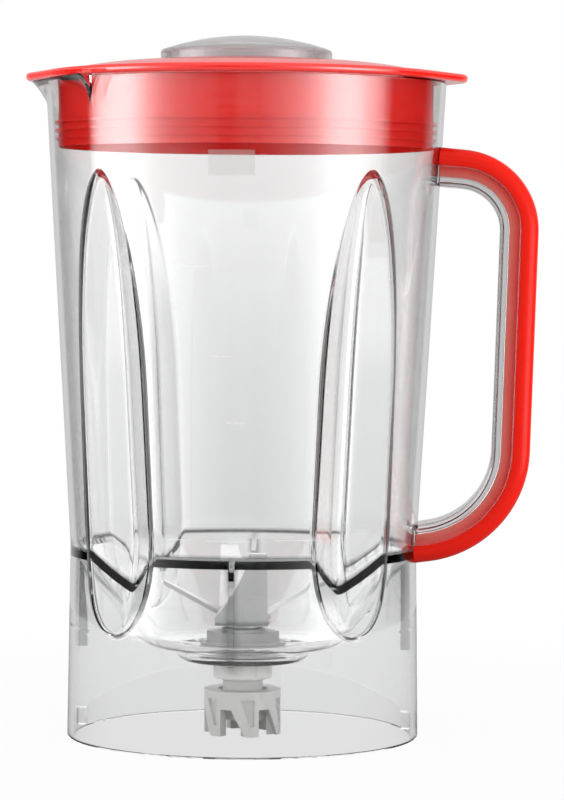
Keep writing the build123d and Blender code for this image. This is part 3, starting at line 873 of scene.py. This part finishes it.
heading = surround.nodes.new("ShaderNodeTexCoord")
parts = surround.nodes.new("ShaderNodeSeparateXYZ")
surround.links.new(heading.outputs["Generated"], parts.inputs["Vector"])
rightward, rearward, upward = parts.outputs["X"], parts.outputs["Y"], parts.outputs["Z"]
forward = calculated(surround, "MULTIPLY", rearward, -1.0)
compass = calculated(surround, "ARCTAN2", rightward, forward)
ring_place = calculated(surround, "MULTIPLY_ADD", compass, 0.5 / pi, 0.5)
light_ring = surround.nodes.new("ShaderNodeValToRGB")
surround.links.new(ring_place, light_ring.inputs["Fac"])
stops = light_ring.color_ramp.elements
while len(stops) < len(studio):
    stops.new(0.5)
for stop, (bearing, radiance) in zip(stops, studio):
    stop.position = bearing / 360 + 0.5
    stop.color = (*[radiance / brightest] * 3, 1)
mirrored = calculated(surround, "MULTIPLY", light_ring.outputs["Color"], brightest)
rays = surround.nodes.new("ShaderNodeLightPath")
on_wall = calculated(surround, "LESS_THAN", rays.outputs["Transmission Depth"], wall_crossings)
above = chosen(surround, on_wall, overhead_inside, overhead)
mirrored = chosen(surround, stepped(surround, upward, overhead_low, overhead_full), mirrored, above)
rear = stepped(surround, rearward, rear_start, rear_full)
rear = calculated(surround, "MULTIPLY", rear, edge_light)
lightened = calculated(surround, "MAXIMUM", mirrored, rear)
mirrored = chosen(surround, on_wall, mirrored, lightened)
glass_level = behind_glass - glass_across * glass_middle
glass_view = calculated(surround, "MULTIPLY_ADD", rightward, glass_across, glass_level)
glass_view = calculated(surround, "MULTIPLY_ADD", upward, glass_rise, glass_view)
glass_view = calculated(surround, "MAXIMUM", glass_view, glass_low)
glass_view = calculated(surround, "MINIMUM", glass_view, glass_high)
bounced = calculated(surround, "MINIMUM", rays.outputs["Diffuse Depth"], 1.0)
through = chosen(surround, bounced, glass_view, inside_light)
seen = chosen(surround, rays.outputs["Is Transmission Ray"], ambient, through)
mirror = calculated(surround, "MINIMUM", rays.outputs["Glossy Depth"], 1.0)
seen = chosen(surround, mirror, seen, mirrored)
seen = chosen(surround, rays.outputs["Is Camera Ray"], seen, backdrop_white)
backdrop = surround.nodes.new("ShaderNodeBackground")
backdrop.inputs["Color"].default_value = (1, 1, 1, 1)
surround.links.new(seen, backdrop.inputs["Strength"])
world_out = surround.nodes.new("ShaderNodeOutputWorld")
surround.links.new(backdrop.outputs[0], world_out.inputs["Surface"])

floor_radius = 0.5
floor_fade_start, floor_fade_end = 0.12, 0.9 * floor_radius
floor_lit_share = 0.96
floor_through_glass = 0.82
floor_sides = 96
turns = np.linspace(0, 2 * pi, floor_sides, endpoint=False)
floor_mesh = new_mesh("floor", row(turns, floor_radius, 0.0).tolist(), [list(range(floor_sides))])
floor = bpy.data.objects.new("floor", floor_mesh)
bpy.context.collection.objects.link(floor)
floor_material, floor_tree, shader = new_material("pale_floor")
shader.inputs["Base Color"].default_value = (0.4, 0.4, 0.4, 1)
shader.inputs["Roughness"].default_value = 0.9
place = floor_tree.nodes.new("ShaderNodeTexCoord")
off_axis = floor_tree.nodes.new("ShaderNodeVectorMath")
off_axis.operation = "LENGTH"
floor_tree.links.new(place.outputs["Object"], off_axis.inputs[0])
fading = stepped(floor_tree, off_axis.outputs["Value"], floor_fade_start, floor_fade_end)
rays = floor_tree.nodes.new("ShaderNodeLightPath")
through_glass = rays.outputs["Is Transmission Ray"]
plainly = calculated(floor_tree, "MAXIMUM", rays.outputs["Is Camera Ray"], through_glass)
glow = floor_tree.nodes.new("ShaderNodeEmission")
glow_strength = chosen(floor_tree, through_glass, backdrop_white, floor_through_glass)
floor_tree.links.new(glow_strength, glow.inputs["Strength"])
lit_share = chosen(floor_tree, fading, floor_lit_share, 1.0)
floor_mix = floor_tree.nodes.new("ShaderNodeMixShader")
floor_tree.links.new(chosen(floor_tree, plainly, 0.0, lit_share), floor_mix.inputs["Fac"])
floor_tree.links.new(shader.outputs[0], floor_mix.inputs[1])
floor_tree.links.new(glow.outputs[0], floor_mix.inputs[2])
floor_tree.links.new(floor_mix.outputs[0], floor_tree.nodes["Material Output"].inputs["Surface"])
floor_mesh.materials.append(floor_material)

jar_middle = Vector((0, 0, jar_height / 2))


def soft_box(name, bearing, distance, height, width, tall, radiance):
    """Flat lamp that faces the jar."""
    lamp = bpy.data.lights.new(name, "AREA")
    lamp.shape = "RECTANGLE"
    lamp.size, lamp.size_y = width, tall
    lamp.energy = radiance * pi * width * tall
    holder = bpy.data.objects.new(name, lamp)
    bpy.context.collection.objects.link(holder)
    holder.location = (sin(bearing) * distance, -cos(bearing) * distance, height)
    holder.rotation_euler = (holder.location - jar_middle).to_track_quat("Z", "Y").to_euler()
    holder.visible_camera = False
    holder.visible_glossy = False
    holder.visible_transmission = False


soft_box("left_box", radians(-72), distance=0.95, height=0.24, width=0.8, tall=0.62, radiance=4.0)
soft_box("right_box", radians(66), distance=0.95, height=0.24, width=0.8, tall=0.62, radiance=3.8)
soft_box("top_box", radians(10), distance=0.35, height=1.5, width=1.0, tall=1.0, radiance=1.4)

camera_bearing = radians(4.0)
camera_distance = 1.25
camera_height = 0.18
aim_height = 0.1276
aim_right = 0.0143
camera_roll = radians(0.38)
lens = bpy.data.cameras.new("camera")
lens.sensor_width = 36.0
lens.lens = 148.0
lens.clip_end = 50.0
camera = bpy.data.objects.new("camera", lens)
bpy.context.collection.objects.link(camera)
sideways, inward = sin(camera_bearing), cos(camera_bearing)
camera.location = (sideways * camera_distance, -inward * camera_distance, camera_height)
aim = Vector((inward * aim_right, sideways * aim_right, aim_height))
facing = (aim - camera.location).to_track_quat("-Z", "Y").to_matrix().to_4x4()
camera.rotation_euler = (facing @ Matrix.Rotation(camera_roll, 4, "Z")).to_euler()
scene = bpy.context.scene
scene.camera = camera
scene.view_settings.view_transform = "Standard"
scene.cycles.max_bounces = 32
scene.cycles.transmission_bounces = 32
scene.cycles.glossy_bounces = 12
scene.cycles.transparent_max_bounces = 16
